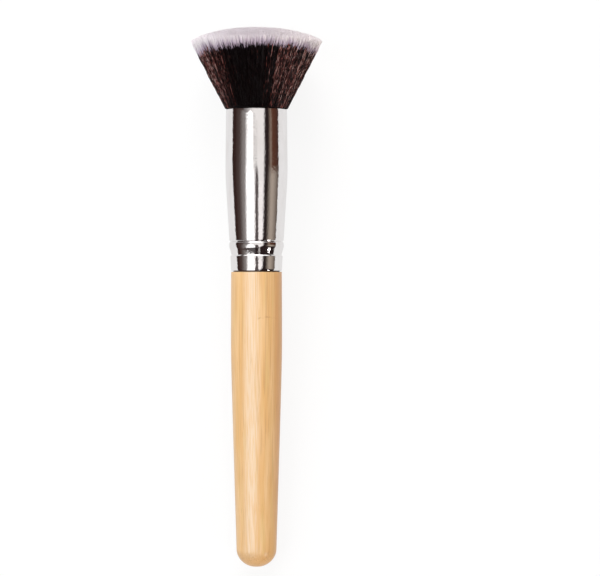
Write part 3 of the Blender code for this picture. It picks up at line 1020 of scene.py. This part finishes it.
@dataclass
class FilamentHead:
    """The head: thousands of fine filaments on a fan of curves, dyed dark with pale ends."""

    mouth_height: float = 148.5 * MM
    sizes: HeadSizes = HeadSizes()
    filaments: int = 26000
    round_share: float = 0.80
    skin_share: float = 0.92
    most_triangles: int = 190_000
    sides: int = 3
    blank_radius: float = 0.1
    seed: int = 7
    seed_step: int = 101
    root_jitter: float = 0.9
    stray_wander: float = 3.0
    wave_spread: float = 200.0
    wave_drift: float = 0.4
    # Painted side light on the left and on the right of the head.
    left: PaintedSideLight = PaintedSideLight((0.30, 0.98, 1.0), (0.88, 1.0, 0.40))
    right: PaintedSideLight = PaintedSideLight((-0.16, 0.92, 1.15), (0.72, 1.0, 0.30))
    single_ramp: tuple[float, float] = (0.86, 1.22)
    # Painted glints: more single bright filaments where the painted side light is stronger, fewer on the
    # left.
    single_by_flank: float = 0.42
    single_tone: float = 1.15
    single_loss_at_left: float = 0.38
    # Tufts show brighter on the left only, partly their own tone and partly painted light.
    clump_tone: float = 0.46
    least_tone: float = 0.16
    # Painted shade in the head's middle, painted light at its sides.
    middle_tone: float = 0.30
    flank_tone: float = 0.70
    sway_power: float = 1.6
    crimp_start: float = 0.35
    second_wave: float = 417.0
    pale_off_middle: float = 0.03
    pale_power: float = 3.2
    pale_left_end: float = 0.45
    pale_inside: tuple[float, float] = (0.60, 0.95)
    map_aspect: float = 4.5
    map_side_gap: float = 0.1
    map_end_gap: float = 0.05
    press_softness: float = 0.35 * MM
    press_reach: float = 4.0
    finish: Finish = FilamentFinish()

    def batches(self) -> list[tuple[Layer, int, int]]:
        """Splits the filaments into batches of like filaments, none of too many triangles.

        Returns:
            Each batch's layer, first filament and how many there are.
        """
        edges = [0] + [round(self.filaments * share**2) for share in (self.round_share, self.skin_share, 1.0)]
        found = []
        for layer, first, last in zip(Layer, edges, edges[1:]):
            triangles = 2 * self.sides * (len(RING_PLACES[layer]) - 1) + 2
            parts = math.ceil((last - first) * triangles / self.most_triangles)
            cuts = [first + (last - first) * part // parts for part in range(parts + 1)]
            found += [(layer, a, b - a) for a, b in zip(cuts, cuts[1:])]
        return found

    def tree(self, layer: Layer) -> bpy.types.GeometryNodeTree:
        """Builds the node tree that grows one batch of filaments.

        Args:
            layer: Which filaments it grows, which sets how many rings each has.

        Returns:
            The tree. Its inputs are the head's sizes, and its result is a plain mesh.
        """
        tree = bpy.data.node_groups.new(f"filaments_{layer.value}", "GeometryNodeTree")
        tree.interface.new_socket("Geometry", in_out="OUTPUT", socket_type="NodeSocketGeometry")
        kinds = dict.fromkeys(("Count", "First", "All", "Seed"), "Int")
        kinds.update(dict.fromkeys(self.sizes.inputs(), "Float"), Material="Material")
        for name, kind in kinds.items():
            tree.interface.new_socket(name, in_out="INPUT", socket_type=f"NodeSocket{kind}")
        kit = NodeKit(tree)
        source = kit.node("NodeGroupInput", {}, {})
        given = {socket.name: Term(kit, socket) for socket in source.outputs if socket.name}
        places = RING_PLACES[layer]
        grown = self._grow(kit, self._scatter(kit, given), len(places))
        shaped = self._shape(kit, given, grown, places)
        smooth = kit.out("GeometryNodeSetShadeSmooth", {}, {"Geometry": shaped})
        values = {"Geometry": smooth, "Material": given["Material"]}
        kit.node("NodeGroupOutput", {}, {0: kit.out("GeometryNodeSetMaterial", {}, values)})
        return tree

    @staticmethod
    def _keep(geometry: Term, name: str, value: Term) -> Term:
        """Stores a value on every point.

        Args:
            geometry: The points, or a curve.
            name: The name to store it under.
            value: A whole number, a vector or a number.

        Returns:
            The geometry with the value.
        """
        kind = {"INT": "INT", "VECTOR": "FLOAT_VECTOR"}.get(value.socket.type, "FLOAT")
        settings = {"data_type": kind, "domain": "POINT"}
        values = {"Geometry": geometry, "Name": name, "Value": value}
        return value.kit.out("GeometryNodeStoreNamedAttribute", settings, values)

    @staticmethod
    def _kept(kit: NodeKit, name: str, kind: str = "FLOAT") -> Term:
        """Reads back a value that was stored under a name."""
        return kit.out("GeometryNodeInputNamedAttribute", {"data_type": kind}, {"Name": name}, "Attribute")

    def _scatter(self, kit: NodeKit, given: dict[str, Term]) -> Term:
        """Scatters the roots over the mouth and draws what each filament has of its own.

        Args:
            kit: The tree's kit.
            given: The tree's inputs by name.

        Returns:
            One point for each filament, with its root, tuft, tone (with painted side light and painted glints
            in it), dye and lean stored.
        """
        index = kit.out("GeometryNodeInputIndex", {}, {})
        number = index + given["First"]

        def chance(order: int) -> Term:
            """Draws a number from 0 to 1 for each filament; order keeps one draw apart from the next."""
            values = {"Min": 0.0, "Max": 1.0, "ID": number, "Seed": given["Seed"] + order * self.seed_step}
            return kit.out("FunctionNodeRandomValue", {"data_type": "FLOAT"}, values, "Value")

        def either_way(draw: Term, most: Term) -> Term:
            """Turns a draw from 0 to 1 into a size between most one way and most the other."""
            return (draw - 0.5) * 2 * most

        spacing = (math.pi / given["All"]).call("SQRT")
        share = ((number + 0.5) / given["All"]).call("SQRT")
        turn = number * (math.pi * (3 - math.sqrt(5)))
        reach = (share + (chance(1) - 0.5) * spacing * self.root_jitter).call("MINIMUM", 1.0)
        turn = turn + (chance(2) - 0.5) * spacing * self.root_jitter / share
        root = kit.join(reach * turn.call("COSINE"), reach * turn.call("SINE"), 0.0)
        cells = {"Vector": root * given["Tufts across"] * 0.5, "Scale": 1.0}
        cell = kit.node("ShaderNodeTexVoronoi", {"voronoi_dimensions": "2D"}, cells)
        clump, drift, dye = (Term(kit, cell.outputs["Color"]).part(name) for name in "ZYX")
        lean = kit.join(chance(3) - 0.5, chance(4) - 0.5, 0.0)
        stray = chance(5).call("LESS_THAN", given["Stray share"])
        # Painted side light: brighter towards the head's sides, darker in its middle and at its very edge.
        left, right = self.left.read(root.part("X") * -1), self.right.read(root.part("X"))
        flank = left.call("MAXIMUM", right)
        # Painted glints: single filaments turn bright, more of them where the painted side light is stronger.
        single = (chance(7) + flank * self.single_by_flank).smooth(*self.single_ramp)
        single = single * (self.single_tone - left * self.single_loss_at_left)
        tone = single + clump**2 * left * self.clump_tone + self.least_tone
        dye = either_way(dye, given["Dye by tuft"]) + either_way(chance(6), given["Dye by filament"])
        stored = {
            "fibre": index,
            "root": root,
            "tuft": Term(kit, cell.outputs["Position"]) * (2 / given["Tufts across"]),
            "lean": lean * (given["Wander"] * (1 + stray * self.stray_wander)),
            "dye": dye,
            # The stored tone carries the painted side light.
            "tone": tone * (self.middle_tone + flank * self.flank_tone),
            "strand": chance(11) * self.wave_spread,
            "clump": clump - 0.5,
            "wave": drift * self.wave_spread + chance(10) * self.wave_drift,
            "twist": chance(8) * math.tau,
            "short": either_way(chance(9), given["Uneven tips"]),
        }
        points = kit.out("GeometryNodePoints", {}, {"Count": given["Count"]})
        for name, value in stored.items():
            points = self._keep(points, name, value)
        return points

    def _grow(self, kit: NodeKit, points: Term, rings: int) -> Term:
        """Puts one plain upright filament on every point and makes them real.

        Args:
            kit: The tree's kit.
            points: The roots.
            rings: How many rings each filament has.

        Returns:
            The filaments, not yet in their shape. Each vertex knows its ring and its place on it.
        """
        line = kit.out("GeometryNodeCurvePrimitiveLine", {}, {"Start": (0, 0, 0), "End": (0, 0, 1)})
        line = kit.out("GeometryNodeResampleCurve", {}, {"Curve": line, "Count": rings})
        line = self._keep(line, "step", kit.out("GeometryNodeSplineParameter", {}, {}, "Factor"))
        blank = {"Resolution": self.sides, "Radius": self.blank_radius}
        ring = kit.out("GeometryNodeCurvePrimitiveCircle", {}, blank)
        ring = self._keep(ring, "spoke", kit.out("GeometryNodeInputIndex", {}, {}) * 1.0)
        parts = {"Curve": line, "Profile Curve": ring, "Fill Caps": True}
        tube = kit.out("GeometryNodeCurveToMesh", {}, parts)
        placed = kit.out("GeometryNodeInstanceOnPoints", {}, {"Points": points, "Instance": tube})
        return kit.out("GeometryNodeRealizeInstances", {}, {"Geometry": placed})

    def _shape(self, kit: NodeKit, given: dict[str, Term], grown: Term, places: list[float]) -> Term:
        """Moves every ring to its place on the fan, and stores how far it is past the dye.

        Args:
            kit: The tree's kit.
            given: The tree's inputs by name.
            grown: The upright filaments.
            places: Where the rings go.

        Returns:
            The finished filaments.
        """
        root = self._kept(kit, "root", "FLOAT_VECTOR")
        widths = [float(np.interp(place, *WIDTH_KNOTS)) / 2 for place in places]
        curves = []
        for values in ([(place + 1) / 2 for place in places], widths):
            knots = {"knots": list(zip(evenly(0.0, 1.0, len(places)), values))}
            curves.append(kit.out("ShaderNodeFloatCurve", knots, {"Value": self._kept(kit, "step")}) * 2)
        place, width = curves[0] - 1, curves[1]
        reach = kit.out("ShaderNodeVectorMath", {"operation": "LENGTH"}, {0: root}, "Value")
        rise = given["Crown rise"]
        ball = (given["Rim radius"] ** 2 + rise**2) / (rise * 2)
        fall = ball - (ball**2 - (reach * given["Rim radius"]) ** 2).call("SQRT")
        tip = given["Crown length"] - fall + self._kept(kit, "short")
        height = place.call("MAXIMUM", 0.0) * tip + place.call("MINIMUM", 0.0) * given["Root depth"]
        flare = height * (given["Rim radius"] - given["Collar radius"]) / (given["Crown length"] - rise)
        bent = height.smooth(0.0, given["Collar height"])
        spread = given["Collar radius"] + flare - given["Packed radius"]
        spread = given["Packed radius"] + spread * bent
        sway = (height / tip).call("MAXIMUM", 0.0) ** self.sway_power
        pull = (self._kept(kit, "tuft", "FLOAT_VECTOR") - root) * (given["Tuft pull"] * sway)
        wave = self._kept(kit, "wave") + height / given["Crimp length"]
        free = height.smooth(0.0, given["Crown length"] * self.crimp_start) * given["Crimp width"]
        crimp = [(kit.noise(wave + shift) - 0.5) * free for shift in (0.0, self.second_wave)]
        hump = (sway * (1 - sway)).call("MAXIMUM", 0.0) * 4
        bulge = root * (self._kept(kit, "clump") * given["Clump bulge"] * hump)
        middle = (root + pull) * spread + self._kept(kit, "lean", "FLOAT_VECTOR") * sway
        middle = middle + kit.join(*crimp, 0.0) + bulge
        turn = self._kept(kit, "twist") + self._kept(kit, "spoke") * (math.tau / self.sides)
        thick = given["Filament radius"] * width
        ring = kit.join(thick * turn.call("COSINE"), thick * turn.call("SINE"), height)
        moved = kit.out("GeometryNodeSetPosition", {}, {"Geometry": grown, "Position": middle + ring})
        side = (root.part("X") + self.pale_off_middle).call("ABSOLUTE") ** self.pale_power
        pale = given["Pale length"] + side * given["Pale at sides"] + self._kept(kit, "dye")
        pale = pale + (root.part("X") * -1).smooth(0.0, self.pale_left_end) * given["Pale at left"]
        pale = pale + (1 - reach.smooth(*self.pale_inside)) * given["Pale within"]
        return self._keep(moved, "undyed", pale - (tip - height))

    def run(self, layer: Layer, first: int, count: int, material: bpy.types.Material) -> bpy.types.Mesh:
        """Runs the tree once and makes its result a plain mesh.

        Args:
            layer: Which filaments they are.
            first: The first filament's number.
            count: How many there are.
            material: What they wear.

        Returns:
            The mesh, upright on the mouth's middle.
        """
        carrier = add_piece("filament_carrier", bpy.data.meshes.new("filament_carrier"))
        modifier = carrier.modifiers.new("grow filaments", "NODES")
        modifier.node_group = self.tree(layer)
        values = {"Count": count, "First": first, "All": self.filaments, "Seed": self.seed}
        values.update(self.sizes.inputs(), Material=material)
        for item in modifier.node_group.interface.items_tree:
            if item.in_out == "INPUT":
                modifier[item.identifier] = values[item.name]
        graph = bpy.context.evaluated_depsgraph_get()
        mesh = bpy.data.meshes.new_from_object(carrier.evaluated_get(graph))
        carrier.modifiers.remove(modifier)
        bpy.data.objects.remove(carrier)
        return mesh

    @staticmethod
    def _read(mesh: bpy.types.Mesh, name: str, kind: type = np.float32) -> np.ndarray:
        """Reads a stored value of every vertex.

        Args:
            mesh: The filaments.
            name: The value's name.
            kind: What numbers it holds.

        Returns:
            One number for each vertex.
        """
        found = np.empty(len(mesh.vertices), kind)
        mesh.attributes[name].data.foreach_get("value", found)
        return found

    def lay_out_map(self, mesh: bpy.types.Mesh, places: list[float], count: int) -> None:
        """Gives each filament a narrow strip of its own on the map, root at its foot and tip at its top.

        Args:
            mesh: The filaments.
            places: Where their rings lie.
            count: How many filaments there are.
        """
        columns = math.ceil(math.sqrt(count * self.map_aspect))
        rows = math.ceil(count / columns)
        fibre = self._read(mesh, "fibre", np.int32)
        spoke = self._read(mesh, "spoke") / (self.sides - 1)
        shares = np.interp(places, *MAP_KNOTS)
        along = np.interp(self._read(mesh, "step"), evenly(0.0, 1.0, len(places)), shares)
        across = (fibre % columns + self.map_side_gap + (1 - 2 * self.map_side_gap) * spoke) / columns
        up = (fibre // columns + self.map_end_gap + (1 - 2 * self.map_end_gap) * along) / rows
        vertex = np.empty(len(mesh.loops), np.int32)
        mesh.loops.foreach_get("vertex_index", vertex)
        layer = mesh.uv_layers.new(name=UV_MAP)
        layer.uv.foreach_set("vector", np.stack([across, up], 1)[vertex].astype(np.float32).ravel())

    def press(self, mesh: bpy.types.Mesh) -> None:
        """Presses the filaments that would be under the table up onto it, the lowest ones flattest.

        Args:
            mesh: The filaments, laid down.
        """
        places = np.empty(len(mesh.vertices) * 3, np.float32)
        mesh.vertices.foreach_get("co", places)
        heights = places[2::3]
        low = heights < self.press_reach * self.press_softness
        heights[low] = (heights[low] + np.sqrt(heights[low] ** 2 + self.press_softness**2)) / 2
        mesh.vertices.foreach_set("co", places)

    def build(self, axis: BrushAxis) -> None:
        """Grows all batches, lays them down and presses them onto the table.

        Args:
            axis: Where the brush's axis lies.
        """
        material = self.finish.material(axis)
        lift = Matrix.Translation((0.0, 0.0, self.mouth_height))
        for number, (layer, first, count) in enumerate(self.batches(), 1):
            mesh = self.run(layer, first, count, material)
            mesh.name = f"filaments_{layer.value}_{number}"
            self.lay_out_map(mesh, RING_PLACES[layer], count)
            mesh.transform(axis.matrix() @ lift)
            self.press(mesh)
            for name in TREE_VALUES:
                mesh.attributes.remove(mesh.attributes[name])
            mesh.update()
            claim(add_piece(mesh.name, mesh), "bristles")


@dataclass
class HiddenCore:
    """The pieces inside the ferrule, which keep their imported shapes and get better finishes."""

    finishes: dict[str, Finish] = field(
        default_factory=lambda: {"handle_glue": GLUE, "potted_root": RESIN, "root_binding": THREAD}
    )

    def dress(self, axis: BrushAxis) -> None:
        """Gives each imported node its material.

        Args:
            axis: Where the brush's axis lies.
        """
        for name, finish in self.finishes.items():
            material = finish.material(axis)
            for slot in frame["nodes"][name].material_slots:
                slot.material = material
            log.info("%s: %s", name, material.name)


def towards(right: float, up: float) -> Vector:
    """Gives the direction of a lamp or board as seen from the ferrule, on the brush's axis.

    Args:
        right: Degrees from the camera's side towards the picture's right.
        up: Degrees towards the head.

    Returns:
        The direction, of length one.
    """
    side, lift = math.radians(right), math.radians(up)
    return Vector((math.sin(side) * math.cos(lift), -math.cos(side) * math.cos(lift), math.sin(lift)))


@dataclass(frozen=True)
class Softbox:
    """One lamp, placed by its direction as seen from the ferrule."""

    name: str
    right: float
    up: float
    distance: float
    width: float
    height: float
    brightness: float
    tint: Colour = (1.0, 1.0, 1.0)
    in_reflections: bool = False

    def hang(self, axis: BrushAxis, target: Vector) -> None:
        """Hangs the lamp, with its long side along the brush.

        Args:
            axis: Where the brush's axis lies.
            target: What it points at, on the brush's axis.
        """
        way = towards(self.right, self.up)
        lamp = bpy.data.lights.new(self.name, "AREA")
        lamp.shape = "RECTANGLE"
        lamp.size, lamp.size_y = self.width, self.height
        lamp.energy = self.brightness * math.pi * self.width * self.height
        lamp.color = self.tint
        across = Vector((0.0, 0.0, 1.0)).cross(way).normalized()
        turn = Matrix((across, way.cross(across), way)).transposed().to_4x4()
        item = bpy.data.objects.new(self.name, lamp)
        item.matrix_world = axis.matrix() @ Matrix.Translation(target + way * self.distance) @ turn
        item.visible_camera = False
        item.visible_glossy = self.in_reflections
        bpy.context.scene.collection.objects.link(item)


@dataclass(frozen=True)
class Board:
    """One board that only shiny surfaces see, which shades from one tone on its left to another on its right.

    Its left and right sides are given at its top and at its foot, in degrees round the brush.
    """

    name: str
    top: tuple[float, float]
    foot: tuple[float, float]
    low: float
    high: float
    tones: tuple[Colour, Colour]
    distance: float = 1.5
    columns: int = 24
    rows: int = 12

    def stand(self, axis: BrushAxis, target: Vector) -> None:
        """Stands the board up.

        Args:
            axis: Where the brush's axis lies.
            target: What it stands round, on the brush's axis.
        """
        vertices, tones = [], []
        for up in evenly(0.0, 1.0, self.rows + 1):
            left, right = (f + (t - f) * up for f, t in zip(self.foot, self.top))
            rise = math.tan(math.radians(self.low + (self.high - self.low) * up))
            for share in evenly(0.0, 1.0, self.columns + 1):
                place = towards(left + (right - left) * share, 0.0) + Vector((0.0, 0.0, rise))
                vertices.append(target + place * self.distance)
                eased = share * share * (3 - 2 * share)
                tones.append([a + (b - a) * eased for a, b in zip(*self.tones)] + [1.0])
        width = self.columns + 1
        cells = [(r * width + c, r * width + c + 1) for r in range(self.rows) for c in range(self.columns)]
        mesh = bpy.data.meshes.new(self.name)
        mesh.from_pydata(vertices, [], [(a, b, b + width, a + width) for a, b in cells])
        mesh.transform(axis.matrix())
        layer = mesh.attributes.new("tone", "FLOAT_COLOR", "POINT")
        layer.data.foreach_set("color", np.array(tones, np.float32).ravel())
        mesh.materials.append(self.glow())
        item = add_piece(self.name, mesh)
        for ray in ("camera", "diffuse", "transmission", "volume_scatter", "shadow"):
            setattr(item, f"visible_{ray}", False)

    def glow(self) -> bpy.types.Material:
        """Makes the board's even glow.

        Returns:
            A material that reads the board's tones.
        """
        made = bpy.data.materials.new(self.name)
        made.use_nodes = True
        made.node_tree.nodes.clear()
        kit = NodeKit(made.node_tree)
        tone = kit.out("ShaderNodeAttribute", {"attribute_name": "tone"}, {}, "Color")
        glow = kit.out("ShaderNodeEmission", {}, {"Color": tone, "Strength": 1.0})
        kit.node("ShaderNodeOutputMaterial", {}, {"Surface": glow})
        return made


BROWN, SMOKE, GREY = (0.036, 0.018, 0.015), (0.070, 0.047, 0.042), (0.285, 0.260, 0.250)
WHITE, CREAM, DARK = (1.5, 1.5, 1.5), (0.93, 0.90, 0.88), (0.022, 0.014, 0.013)
SLATE, DUSK, ASH = (0.11, 0.10, 0.10), (0.100, 0.082, 0.080), (0.20, 0.18, 0.18)
OLIVE, SAND, STONE = (0.25, 0.18, 0.14), (0.42, 0.35, 0.29), (0.085, 0.062, 0.052)
RUST, UMBER, PEARL_GREY = (0.105, 0.040, 0.024), (0.060, 0.026, 0.020), (0.55, 0.52, 0.50)
MILK = (1.08, 1.03, 1.02)

BOARDS = (
    Board("left_flag", (-94.7, -76.0), (-87.5, -76.0), -60.0, 60.0, (BROWN, BROWN), 0.055),
    Board("left_wall", (-92.0, -66.0), (-92.0, -68.0), -40.0, 40.0, (BROWN, SMOKE), 1.64),
    Board("key_surround", (-68.0, -6.0), (-68.0, -6.0), -60.0, 40.0, (SMOKE, SLATE), 1.62),
    Board("spill", (-67.0, -43.0), (-75.0, -47.0), -27.0, 14.0, (SMOKE, GREY), 1.58),
    Board("spill_edge", (-43.0, -30.0), (-50.0, -39.0), -27.0, 8.0, (GREY, WHITE), 1.56),
    Board("key_cap", (-50.0, -5.0), (-46.0, -5.0), 6.5, 30.0, (ASH, CREAM), 1.56),
    Board("key_face", (-31.0, -16.0), (-42.0, -6.0), -27.0, 7.0, (WHITE, WHITE), 1.54),
    Board("key_tip", (-24.0, -22.0), (-31.0, -16.0), 6.9, 14.0, (WHITE, WHITE), 1.54),
    Board("key_fade", (-16.5, -9.0), (-6.5, 1.0), -27.0, 7.0, (WHITE, CREAM), 1.52),
    Board("front_face", (-9.0, 29.0), (-6.0, 25.6), -4.6, 22.0, (CREAM, CREAM), 1.50),
    Board("front_fade", (28.9, 36.0), (25.5, 33.0), -4.6, 22.0, (CREAM, DARK), 1.48),
    Board("front_low", (-6.0, 25.6), (-6.0, 9.0), -27.0, -4.5, (MILK, MILK), 1.50),
    Board("front_low_fade", (25.5, 33.0), (8.9, 17.0), -27.0, -4.5, (MILK, DARK), 1.48),
    Board("streak", (-2.6, 6.2), (-8.0, 14.5), -28.0, 0.5, (DUSK, DUSK), 1.30),
    Board("streak_tip", (-2.2, -1.4), (-2.6, 6.2), 0.4, 4.0, (DUSK, DUSK), 1.30),
    Board("flank_glow", (9.5, 16.5), (9.5, 16.5), -50.0, -27.0, (PEARL_GREY, PEARL_GREY), 1.28),
    Board("olive_post", (44.0, 57.0), (44.0, 57.0), 1.0, 22.0, (DARK, OLIVE), 1.46),
    Board("olive_face", (57.0, 63.0), (57.0, 63.0), 1.0, 22.0, (OLIVE, RUST), 1.45),
    Board("rust_wall", (63.0, 92.0), (63.0, 92.0), 1.0, 22.0, (RUST, UMBER), 1.44),
    Board("low_post", (40.0, 61.0), (37.0, 61.0), -14.0, 1.6, (DARK, SAND), 1.42),
    Board("low_wall", (61.0, 97.0), (61.0, 95.0), -14.0, 1.6, (SAND, STONE), 1.40),
    Board("ceiling", (-85.0, 85.0), (-85.0, 85.0), 46.0, 80.0, (WHITE, WHITE), 1.40),
)


@dataclass
class Studio:
    """A pale table in a dim room, lit by large soft lamps, and the camera above it."""

    target_height: float = 122.0 * MM
    floor_size: float = 12.0
    floor_colour: Colour = (0.10, 0.10, 0.10)
    floor_roughness: float = 0.9
    floor_glow: float = 0.87
    floor_glow_in_metal: float = 0.74
    floor_glow_as_light: float = 0.48
    room: Colour = (0.022, 0.013, 0.013)
    pale_room: Colour = (0.95, 0.95, 0.95)
    focal_px: float = 2800.0
    camera_distance: float = 0.911
    picture_middle: tuple[float, float] = (14.15 * MM, 90.5 * MM)
    sensor: float = 36.0
    clip: tuple[float, float] = (0.01, 50.0)
    lamps: tuple[Softbox, ...] = (
        Softbox("key", -38.0, -10.0, 1.5, 1.00, 1.5, 3.10),
        Softbox("front", 8.0, -12.0, 1.7, 1.10, 1.3, 1.46),
        Softbox("left_rim", -84.0, -8.0, 1.5, 0.16, 1.2, 4.6),
        Softbox("right_fill", 58.0, -8.0, 1.6, 0.80, 1.6, 1.6, (1.0, 0.78, 0.52)),
        Softbox("right_low", 62.5, -35.0, 1.5, 0.20, 0.40, 24.0, (1.0, 0.95, 0.93), True),
        Softbox("head", -6.0, 52.0, 1.6, 1.4, 1.0, 3.9, (1.0, 1.0, 1.0), True),
        Softbox("crown", -30.0, 72.0, 1.6, 1.2, 0.9, 8.3),
    )

    def light(self, axis: BrushAxis) -> None:
        """Hangs the lamps, stands up the boards and sets the room's own light.

        Args:
            axis: Where the brush's axis lies.
        """
        target = Vector((0.0, 0.0, self.target_height))
        for lamp in self.lamps:
            lamp.hang(axis, target)
        for board in BOARDS:
            board.stand(axis, target)
        world = bpy.data.worlds.new("room")
        bpy.context.scene.world = world
        world.use_nodes = True
        world.node_tree.nodes.clear()
        kit = NodeKit(world.node_tree)
        seen = kit.out("ShaderNodeLightPath", {}, {}, "Is Camera Ray")
        colour = kit.blend(seen, self.room, self.pale_room)
        glow = kit.out("ShaderNodeBackground", {}, {"Color": colour, "Strength": 1.0})
        kit.node("ShaderNodeOutputWorld", {}, {"Surface": glow})

    def lay_floor(self) -> None:
        """Lays the pale table top that the brush lies on."""
        half = self.floor_size / 2
        corners = [(-half, -half, 0), (half, -half, 0), (half, half, 0), (-half, half, 0)]
        mesh = bpy.data.meshes.new("table_top")
        mesh.from_pydata(corners, [], [(0, 1, 2, 3)])
        made = bpy.data.materials.new("table_top")
        made.use_nodes = True
        kit = NodeKit(made.node_tree)
        glow = self.floor_glow
        seen_by = {"Is Glossy Ray": self.floor_glow_in_metal, "Is Diffuse Ray": self.floor_glow_as_light}
        for ray, other_glow in seen_by.items():
            glow = glow + kit.out("ShaderNodeLightPath", {}, {}, ray) * (other_glow - self.floor_glow)
        values = {
            "Base Color": (*self.floor_colour, 1.0),
            "Roughness": self.floor_roughness,
            "Specular IOR Level": 0.0,
            "Emission Color": (1.0, 1.0, 1.0, 1.0),
            "Emission Strength": glow,
        }
        for name, value in values.items():
            kit.feed(made.node_tree.nodes["Principled BSDF"].inputs[name], value)
        mesh.materials.append(made)
        add_piece("table_top", mesh)

    def set_camera(self, axis: BrushAxis) -> None:
        """Hangs the camera square to the brush's axis, with the photograph's frame.

        Args:
            axis: Where the brush's axis lies.
        """
        lens = bpy.data.cameras.new("camera")
        lens.sensor_width = self.sensor
        lens.lens = self.focal_px * self.sensor / PICTURE_WIDTH_PX
        lens.clip_start, lens.clip_end = self.clip
        item = bpy.data.objects.new("camera", lens)
        right, height = self.picture_middle
        spot = Matrix.Translation((right, -self.camera_distance, height))
        item.matrix_world = axis.matrix() @ spot @ Matrix.Rotation(math.radians(90), 4, "X")
        bpy.context.scene.collection.objects.link(item)
        bpy.context.scene.camera = item
        bpy.context.scene.view_settings.view_transform = "Standard"

    def build(self, axis: BrushAxis) -> None:
        """Sets up the table, the lamps and the camera.

        Args:
            axis: Where the brush's axis lies.
        """
        self.lay_floor()
        self.light(axis)
        self.set_camera(axis)
        log.info("studio: %d lamps and %d boards", len(self.lamps), len(BOARDS))


def main() -> None:
    """Builds the studio and the brush in order."""
    logging.basicConfig(level=logging.INFO, format="%(message)s", stream=sys.stdout)
    axis = BrushAxis.from_record(frame["record"])
    Studio().build(axis)
    Handle().build(axis)
    Ferrule().build(axis)
    HiddenCore().dress(axis)
    FilamentHead().build(axis)


if __name__ == "__main__":
    main()
